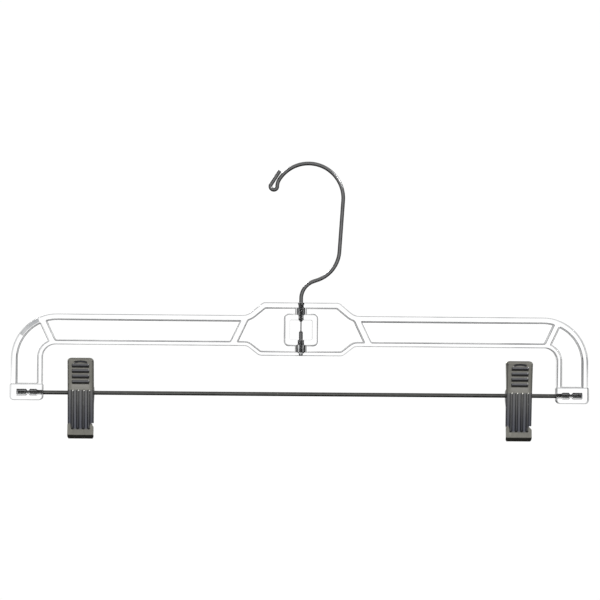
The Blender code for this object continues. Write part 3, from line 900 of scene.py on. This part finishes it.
def in_stamp(x, height):
    bowed = STAMP_Z - STAMP_BOW * (x / STAMP_HALF) ** 2
    beyond = max(0.0, abs(x) - STAMP_HALF)
    return bump(math.hypot(beyond, height - bowed), STAMP_R)


def painted_shade_and_light(x, height, side):
    """Painted shade on the plating: more towards the throat, and in the stamp, grips and flutes' feet;
    below 0 it is painted light on the waist.
    """
    throat = MIDDLE_THROAT[1] + (THROAT[1] - MIDDLE_THROAT[1]) * side
    below = smooth_share(-height, -FLUTE_Z[0] - PAINTED_SHADE_EDGE, -FLUTE_Z[0])
    above = smooth_share(height, throat - PAINTED_SHADE_EDGE / 2, throat + PAINTED_SHADE_EDGE / 2)
    down = min(1.0, max(0.0, height / throat))
    panel = below * above * (PAINTED_SHADE_TOP + (1 - PAINTED_SHADE_TOP) * down)
    foot = min(1.0, FOOT_SPREAD * on_flute(x, height)) if height < FLUTE_Z[1] else 0.0
    grip = PAINTED_SHADE_GRIP * min(1.0, GRIP_SPREAD * on_grip(x, height))
    most = max(panel, foot, grip, in_stamp(x, height))
    return most - BRIGHT * bump(abs(height - BRIGHT_Z), BRIGHT_REACH) * (1 - side) * (1 - most)


def jaw_rows():
    """Heights of the jaw's rows, from its top edge down to its lip."""
    top, bottom = HANDLE_EDGE[1], LIP[1]
    count = math.ceil((top - bottom) / ROW_STEP)
    heights = {round(top - (top - bottom) * k / count, 7) for k in range(count + 1)}
    heights |= {place[1] for place in (FLANGE_TOP, FLANGE_BOTTOM, NOTCH_TOP, EAR_TOP, EAR_FOOT)}
    stamp_rows = math.ceil(4 * STAMP_R / STAMP_STEP)
    heights |= {round(STAMP_Z + STAMP_R - STAMP_STEP * k, 7) for k in range(stamp_rows)}
    kept = []
    for height in sorted(heights, reverse=True):
        if not kept or kept[-1] - height > ROW_LEAST:
            kept.append(height)
    return kept


def jaw_section(height, half, side, out, edge):
    """One side of a row, from the panel out: (x, out) of the panel's end, the bend and the flange."""
    top = HANDLE_EDGE[1]
    flat_half = half
    if height > top - HANDLE_CORNER_R:
        rise = height - (top - HANDLE_CORNER_R)
        flat_half = half - HANDLE_CORNER_R + math.sqrt(max(0.0, HANDLE_CORNER_R**2 - rise**2))
    if height < LIP[1] + 2 * SHEET:
        flat_half -= SHEET * (1 - (height - LIP[1]) / (2 * SHEET)) ** 2
    if side == 1 and height <= NOTCH_TOP[1]:
        flat_half = min(flat_half, NOTCH_TOP[0] + (NOTCH_TOP[1] - height) * NOTCH_SLOPE)
    if height >= 0:
        flat = smooth_share(height, FLANGE_TOP[1], FLANGE_TOP[1] + 2 * SHEET)
    elif side == 1:
        flat = 1.0 if height <= NOTCH_TOP[1] else 0.0
    else:
        flat = smooth_share(-height, -FLANGE_BOTTOM[1], -FLANGE_BOTTOM[1] + 2 * SHEET)
    edge_out = at_height(edge, min(FLANGE_TOP[1], max(FLANGE_BOTTOM[1], height)))
    folded, spread = [], []
    for k in range(BEND_STEPS + 1):
        angle = math.pi / 2 * k / BEND_STEPS
        across = half - BEND_R * (1 - math.sin(angle))
        folded.append(Vector((across, out - BEND_R * (1 - math.cos(angle)))))
    start = out - BEND_R
    for k in range(1, FLANGE_STEPS + 1):
        folded.append(Vector((half, start + (edge_out - start) * k / FLANGE_STEPS)))
    for k in range(len(folded)):
        run = flat_half - FLAT_RUN * (1 - k / (len(folded) - 1))
        spread.append(Vector((run, out)))
    return [a.lerp(b, flat) for a, b in zip(folded, spread)]


def panel_x(left_end, right_end, flat_end):
    """Places across a row's panel: even in the middle, and fitted to its ends in a strip along each."""
    places = []
    for k in range(PANEL_STEPS + 1):
        x = flat_end * (2 * k / PANEL_STEPS - 1)
        end = right_end if x > 0 else left_end
        core = min(flat_end - PANEL_STRIP, end - PANEL_STRIP_LEAST)
        beyond = abs(x) - core
        if beyond > 0:
            x = math.copysign(core + beyond * (end - core) / (flat_end - core), x)
        places.append(x)
    return places


def jaw_skin(width, out_sign, x_middle):
    """The jaw's outer surface as an open sheet, with its flutes, grips and stamp pressed in."""
    side_face = rounded([HANDLE_EDGE, HANDLE_TOP, WAISTLINE, THROAT, NOSE, LIP], closed=False)
    middle_face = rounded([HANDLE_EDGE, HANDLE_TOP, WAISTLINE, MIDDLE_THROAT, NOSE, LIP], closed=False)
    edge = flange_edge()
    flat_end = width / 2 - BEND_R
    shape = bmesh.new()
    painted_shading = shape.verts.layers.float.new("painted_shade_and_light")
    crest = shape.verts.layers.float.new("raised_share")
    rows = []
    for height in jaw_rows():
        out = at_height(side_face, height)
        sunk = at_height(middle_face, height) - out
        left = jaw_section(height, width / 2, -1, out, edge)
        right = jaw_section(height, width / 2, 1, out, edge)
        panel = [Vector((x, out)) for x in panel_x(left[0].x, right[0].x, flat_end)]
        section = [Vector((-p.x, p.y)) for p in reversed(left[1:])] + panel + right[1:]
        rise = at_height(side_face, height + ROW_STEP) - at_height(side_face, height - ROW_STEP)
        slope = rise / (2 * ROW_STEP)
        lean = math.hypot(1.0, slope)
        row = []
        for x, reach in section:
            on_panel = -left[0].x < x < right[0].x
            push = pressed(x, height) if on_panel else 0.0
            side = smooth_share(abs(x), flat_end - MIDDLE_BLEND, flat_end)
            reach += sunk * (1 - side)
            place = (x_middle + x, out_sign * (reach + push / lean), BAR_Z + height - push * slope / lean)
            vertex = shape.verts.new(place)
            # painted shade and painted light on the plating
            vertex[painted_shading] = painted_shade_and_light(x, height, side)
            vertex[crest] = min(1.0, max(0.0, push) / FLUTE_HEIGHT)
            row.append(vertex)
        rows.append(row)
    for first, second in zip(rows, rows[1:]):
        for i in range(len(first) - 1):
            corners = (first[i], first[i + 1], second[i + 1], second[i])
            shape.faces.new(corners if out_sign == -1 else corners[::-1])
    return shape


def build_jaw(side, part, width, out_sign, material):
    node = f"{side}_{part}_jaw"
    jaw = to_object(node + "_plate", jaw_skin(width, out_sign, CLIP_X[side]), closed=False)
    solid = jaw.modifiers.new("sheet", "SOLIDIFY")
    solid.thickness = SHEET
    solid.offset = 1.0
    bevel = jaw.modifiers.new("cut_edges", "BEVEL")
    bevel.width = SHEET / 6
    bevel.segments = 2
    bevel.limit_method = "ANGLE"
    bevel.angle_limit = math.radians(60)
    reach = width / 2 + OVERRUN
    hole = [(0, reach), (PIVOT_R, reach), (PIVOT_R, -reach), (0, -reach)]
    combine(jaw, revolved(node + "_hole", hole, BORE_SIDES, along_bar(CLIP_X[side])), solver="EXACT")
    settle(jaw)
    show(jaw, material, node, f"{side}_{part}")


def spring_points(x_middle):
    """The coil round the bar, with a leg up to each handle."""
    sweep_angle = -360 * COIL_TURNS
    steps = round(COIL_STEPS * COIL_TURNS)
    coil = []
    for i in range(steps + 1):
        share = i / steps
        angle = math.radians(COIL_START + sweep_angle * share)
        x = COIL_HALF * (2 * share - 1)
        coil.append((x, COIL_R * math.cos(angle), COIL_R * math.sin(angle)))
    ends = [(-COIL_HALF, LEG_END[0], LEG_END[1]), (COIL_HALF, -LEG_END[0], LEG_END[1])]
    legs = []
    for end, root in zip(ends, (coil[0], coil[-1])):
        end, root = Vector(end), Vector(root)
        legs.append([end.lerp(root, k / LEG_STEPS) for k in range(LEG_STEPS)])
    path = legs[0] + [Vector(p) for p in coil] + legs[1][::-1]
    return [p + Vector((x_middle, 0, BAR_Z)) for p in path]


def build_spring(side, material):
    x = CLIP_X[side]
    points = spring_points(x)
    spring = sweep(f"{side}_spring_wire", points, SPRING_WIRE_R, SPRING_SIDES, first_normal=(1, 0, 0))
    show(spring, material, f"{side}_clip_spring")
    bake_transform(spring)


# ---- Materials ----
class Tree:
    """A material's or world's nodes, with short ways to add and link them."""

    def __init__(self, owner):
        owner.use_nodes = True
        self.tree = owner.node_tree
        self.tree.nodes.clear()

    def add(self, kind, inputs=None, **settings):
        node = self.tree.nodes.new(kind)
        for name, value in settings.items():
            setattr(node, name, value)
        for name, value in (inputs or {}).items():
            socket = node.inputs[name]
            if isinstance(value, bpy.types.NodeSocket):
                self.tree.links.new(value, socket)
            else:
                socket.default_value = value
        return node

    def math(self, operation, first, second=0.0, third=0.0):
        return self.add("ShaderNodeMath", {0: first, 1: second, 2: third}, operation=operation).outputs[0]

    def times(self, first, second):
        return self.math("MULTIPLY", first, second)

    def range(self, value, start, end, low=0.0, high=1.0, smooth=False):
        """A value taken from one range to another, and kept in it."""
        inputs = {"Value": value, "From Min": start, "From Max": end, "To Min": low, "To Max": high}
        kind = "SMOOTHSTEP" if smooth else "LINEAR"
        return self.add("ShaderNodeMapRange", inputs, interpolation_type=kind).outputs["Result"]

    def mix(self, share, first, second):
        """A colour between two, by share."""
        pair = [c if isinstance(c, bpy.types.NodeSocket) else (*c, 1.0) for c in (first, second)]
        return self.add("ShaderNodeMix", {0: share, 6: pair[0], 7: pair[1]}, data_type="RGBA").outputs[2]

    def noise(self, vector, scale, detail=3.0, stretch=(1, 1, 1)):
        mapped = self.add("ShaderNodeMapping", {"Vector": vector, "Scale": stretch}).outputs[0]
        inputs = {"Vector": mapped, "Scale": scale, "Detail": detail}
        return self.add("ShaderNodeTexNoise", inputs).outputs["Fac"]


def steel(name, light, dark, roughness, streaks, along_uv=False, painted_shading=False):
    """Drawn or stamped steel: tool streaks, soft blotches, fine scratches and a lighter tone on raised
    crests; on the clips also painted shade and painted light.
    """
    material = bpy.data.materials.new(name)
    t = Tree(material)
    places = t.add("ShaderNodeTexCoord")
    where = places.outputs["Object"]
    drawn = places.outputs["UV"] if along_uv else where
    streak = t.noise(drawn, 1.0, 4.0, streaks)
    blotch = t.noise(where, 260.0, 3.0)
    scratch = t.noise(where, 5200.0, 2.0)
    raised_share = t.add("ShaderNodeAttribute", attribute_name="raised_share").outputs["Fac"]
    tone = t.math("MULTIPLY_ADD", blotch, 0.45, t.times(streak, 0.75))
    colour = t.mix(t.range(tone, 0.38, 0.82), dark, light)
    if painted_shading:
        # painted shade towards the dark tint, and painted light towards the frosted tone where the mark is
        # below 0
        shade_paint = t.add("ShaderNodeAttribute", attribute_name="painted_shade_and_light").outputs["Fac"]
        colour = t.mix(t.range(shade_paint, 0.0, 1.0, 0.0, 0.92), colour, CLIP_PAINTED_SHADE)
        painted_light = t.range(shade_paint, -0.5, 0.0, 0.75, 0.0)
        painted_light = t.times(painted_light, t.range(scratch, 0.35, 0.65, 0.5, 1.0))
        colour = t.mix(painted_light, colour, CLIP_PAINTED_LIGHT)
    # a lighter tone on the raised crests of the pressed forms
    colour = t.mix(t.times(raised_share, 0.12), colour, tuple(min(1.0, c * 1.7) for c in light))
    wear = t.math("MULTIPLY_ADD", scratch, 0.4, streak)
    rough = t.range(wear, 0.3, 1.1, roughness - 0.07, roughness + 0.08)
    grain = t.math("MULTIPLY_ADD", streak, 0.7, t.times(scratch, 0.3))
    bumped = t.add("ShaderNodeBump", {"Strength": 0.22, "Distance": 0.00006, "Height": grain})
    inputs = {"Base Color": colour, "Metallic": 1.0, "Roughness": rough, "Normal": bumped.outputs[0]}
    shader = t.add("ShaderNodeBsdfPrincipled", inputs)
    t.add("ShaderNodeOutputMaterial", {"Surface": shader.outputs[0]})
    return material


def clear_plastic(name):
    """Polished clear polystyrene: faint flow ripples, handling scuffs, a slight tint in its depth, and
    painted shade: a dark tint along its edges, fillets, bores and shoulder patch that stands for the dark
    lines refraction draws.
    """
    material = bpy.data.materials.new(name)
    t = Tree(material)
    where = t.add("ShaderNodeTexCoord").outputs["Object"]
    ripple = t.noise(where, 90.0, 2.0, (0.35, 1.0, 1.0))
    scuff = t.noise(where, 900.0, 5.0, (0.25, 1.0, 1.0))
    scuffed = t.range(scuff, 0.58, 0.75)
    rough = t.range(t.math("MULTIPLY_ADD", scuffed, 0.6, ripple), 0.3, 1.3, 0.0, 0.06)
    # painted shade: the marked places are tinted dark, patchily, for the dark lines that refraction draws
    turned = t.add("ShaderNodeAttribute", attribute_name="turned").outputs["Fac"]
    uneven = t.times(turned, t.range(t.noise(where, 60.0, 3.0), 0.35, 0.65, 0.7, 1.15))
    colour = t.mix(uneven, (1.0, 1.0, 1.0), (0.12, 0.13, 0.14))
    bumped = t.add("ShaderNodeBump", {"Strength": 0.05, "Distance": 0.0001, "Height": ripple})
    inputs = {
        "Base Color": colour,
        "Roughness": rough,
        "IOR": 1.57,
        "Specular Tint": (0.35, 0.35, 0.35, 1.0),
        "Transmission Weight": 1.0,
        "Normal": bumped.outputs[0],
    }
    shader = t.add("ShaderNodeBsdfPrincipled", inputs)
    depth = t.add("ShaderNodeVolumeAbsorption", {"Color": (0.86, 0.92, 0.94, 1.0), "Density": 4.0})
    t.add("ShaderNodeOutputMaterial", {"Surface": shader.outputs[0], "Volume": depth.outputs[0]})
    return material


# ---- Stage ----
def build_world():
    """A bright backdrop level with the hanger, darker to the sides, above and below it.

    What the plastic bends is lit by through, so that its edges draw dark lines, and the metal by mirror.
    """
    world = bpy.data.worlds.new("studio")
    bpy.context.scene.world = world
    t = Tree(world)
    facing = t.add("ShaderNodeSeparateXYZ", {"Vector": t.add("ShaderNodeTexCoord").outputs["Generated"]})
    across, height = t.math("ABSOLUTE", facing.outputs["X"]), facing.outputs["Z"]
    ways = t.add("ShaderNodeLightPath")
    sides = t.range(across, 0.30, 1.0, 1.0, 0.35, smooth=True)
    above = t.range(height, 0.15, 0.60, 1.0, 0.40, smooth=True)
    below = t.range(height, -0.70, -0.30, 0.20, 1.0, smooth=True)
    through = t.times(t.times(above, below), t.times(sides, 1.08))
    mirror = t.range(height, -0.62, -0.28, 0.07, 0.87, smooth=True)
    mirror = t.math("SUBTRACT", mirror, t.range(height, -0.05, 0.35, 0.0, 0.36, smooth=True))
    mirror = t.times(mirror, t.range(across, 0.38, 0.88, 1.0, 0.30, smooth=True))
    mirror = t.times(mirror, t.range(facing.outputs["X"], -0.06, 0.24, 1.0, 0.72, smooth=True))
    behind = t.range(facing.outputs["Y"], 0.0, 0.5, 0.0, 0.85, smooth=True)
    shade = t.times(behind, t.range(height, -0.12, 0.0, 1.0, 0.0, smooth=True))
    mirror = t.times(mirror, t.math("SUBTRACT", 1.0, shade))
    unreflected = t.math("LESS_THAN", ways.outputs["Glossy Depth"], 0.5)
    straight = t.times(ways.outputs["Is Transmission Ray"], unreflected)
    inner = t.times(ways.outputs["Is Transmission Ray"], t.math("SUBTRACT", 1.0, unreflected))
    mirror = t.times(mirror, t.math("MULTIPLY_ADD", inner, -0.82, 1.0))
    strength = t.math("MULTIPLY_ADD", straight, t.math("SUBTRACT", through, mirror), mirror)
    seen = t.math("SUBTRACT", 1.02, strength)
    strength = t.math("MULTIPLY_ADD", ways.outputs["Is Camera Ray"], seen, strength)
    background = t.add("ShaderNodeBackground", {"Color": (1, 1, 1, 1), "Strength": strength})
    t.add("ShaderNodeOutputWorld", {"Surface": background.outputs[0]})


def build_floor():
    """A plain pale floor that fades into the backdrop."""
    shape = bmesh.new()
    bmesh.ops.create_circle(shape, cap_ends=True, segments=FLOOR_SIDES, radius=FLOOR_R)
    floor = to_object("studio_floor", shape)
    floor.location = (0, 0, cad_box[0].z - FLOOR_DROP)
    material = bpy.data.materials.new("pale_floor")
    t = Tree(material)
    where = t.add("ShaderNodeTexCoord").outputs["Object"]
    away = t.add("ShaderNodeVectorMath", {0: where}, operation="LENGTH").outputs["Value"]
    paint = t.add("ShaderNodeBsdfDiffuse", {"Color": (0.86, 0.86, 0.86, 1.0)})
    glow = t.add("ShaderNodeEmission", {"Color": (1, 1, 1, 1), "Strength": 1.02})
    fade = t.range(away, FLOOR_R * 0.1, FLOOR_R * 0.6, 0.25, 1.0, smooth=True)
    mixed = t.add("ShaderNodeMixShader", {0: fade, 1: paint.outputs[0], 2: glow.outputs[0]})
    t.add("ShaderNodeOutputMaterial", {"Surface": mixed.outputs[0]})
    floor.data.materials.append(material)
    floor.visible_glossy = False
    floor.visible_diffuse = False


def add_softbox(name, away, size, power):
    """A round soft light that faces the hanger's middle."""
    middle = (cad_box[0] + cad_box[1]) / 2
    light = bpy.data.lights.new(name, "AREA")
    light.shape = "DISK"
    light.size = size
    light.energy = power
    lamp = bpy.data.objects.new(name, light)
    lamp.location = middle + Vector(away)
    lamp.rotation_mode = "QUATERNION"
    lamp.rotation_quaternion = (middle - lamp.location).to_track_quat("-Z", "Y")
    lamp.visible_camera = False
    lamp.visible_transmission = False
    bpy.context.scene.collection.objects.link(lamp)


def add_camera():
    turn, rise = math.radians(CAMERA_AZIMUTH), math.radians(CAMERA_ELEVATION)
    back = Vector((math.sin(turn) * math.cos(rise), -math.cos(turn) * math.cos(rise), math.sin(rise)))
    data = bpy.data.cameras.new("photo_camera")
    data.lens = CAMERA_LENS
    camera = bpy.data.objects.new("photo_camera", data)
    camera.location = Vector(CAMERA_TARGET) + back * CAMERA_DISTANCE
    camera.rotation_mode = "QUATERNION"
    roll = Quaternion((0, 0, 1), math.radians(CAMERA_ROLL))
    camera.rotation_quaternion = (-back).to_track_quat("-Z", "Y") @ roll
    bpy.context.scene.collection.objects.link(camera)
    bpy.context.scene.camera = camera


def build_stage():
    build_world()
    build_floor()
    add_softbox("key_light", *KEY_LIGHT)
    add_softbox("back_light", *BACK_LIGHT)
    add_camera()
    bpy.context.scene.view_settings.view_transform = "Standard"


# ---- The hanger ----
def build_hanger():
    hook_steel = steel("drawn_hook_wire", *HOOK_LOOK, along_uv=True)
    bar_steel = steel("drawn_bar", *BAR_LOOK)
    clip_steel = steel("stamped_nickel", *CLIP_LOOK, painted_shading=True)
    spring_steel = steel("spring_wire", *SPRING_LOOK, along_uv=True)
    build_hook(hook_steel)
    build_frame(clear_plastic("clear_styrene"))
    build_bar(bar_steel)
    for side in ("left", "right"):
        build_jaw(side, "front", FRONT_WIDTH, -1, clip_steel)
        build_jaw(side, "back", BACK_WIDTH, 1, clip_steel)
        build_spring(side, spring_steel)


build_hanger()
build_stage()
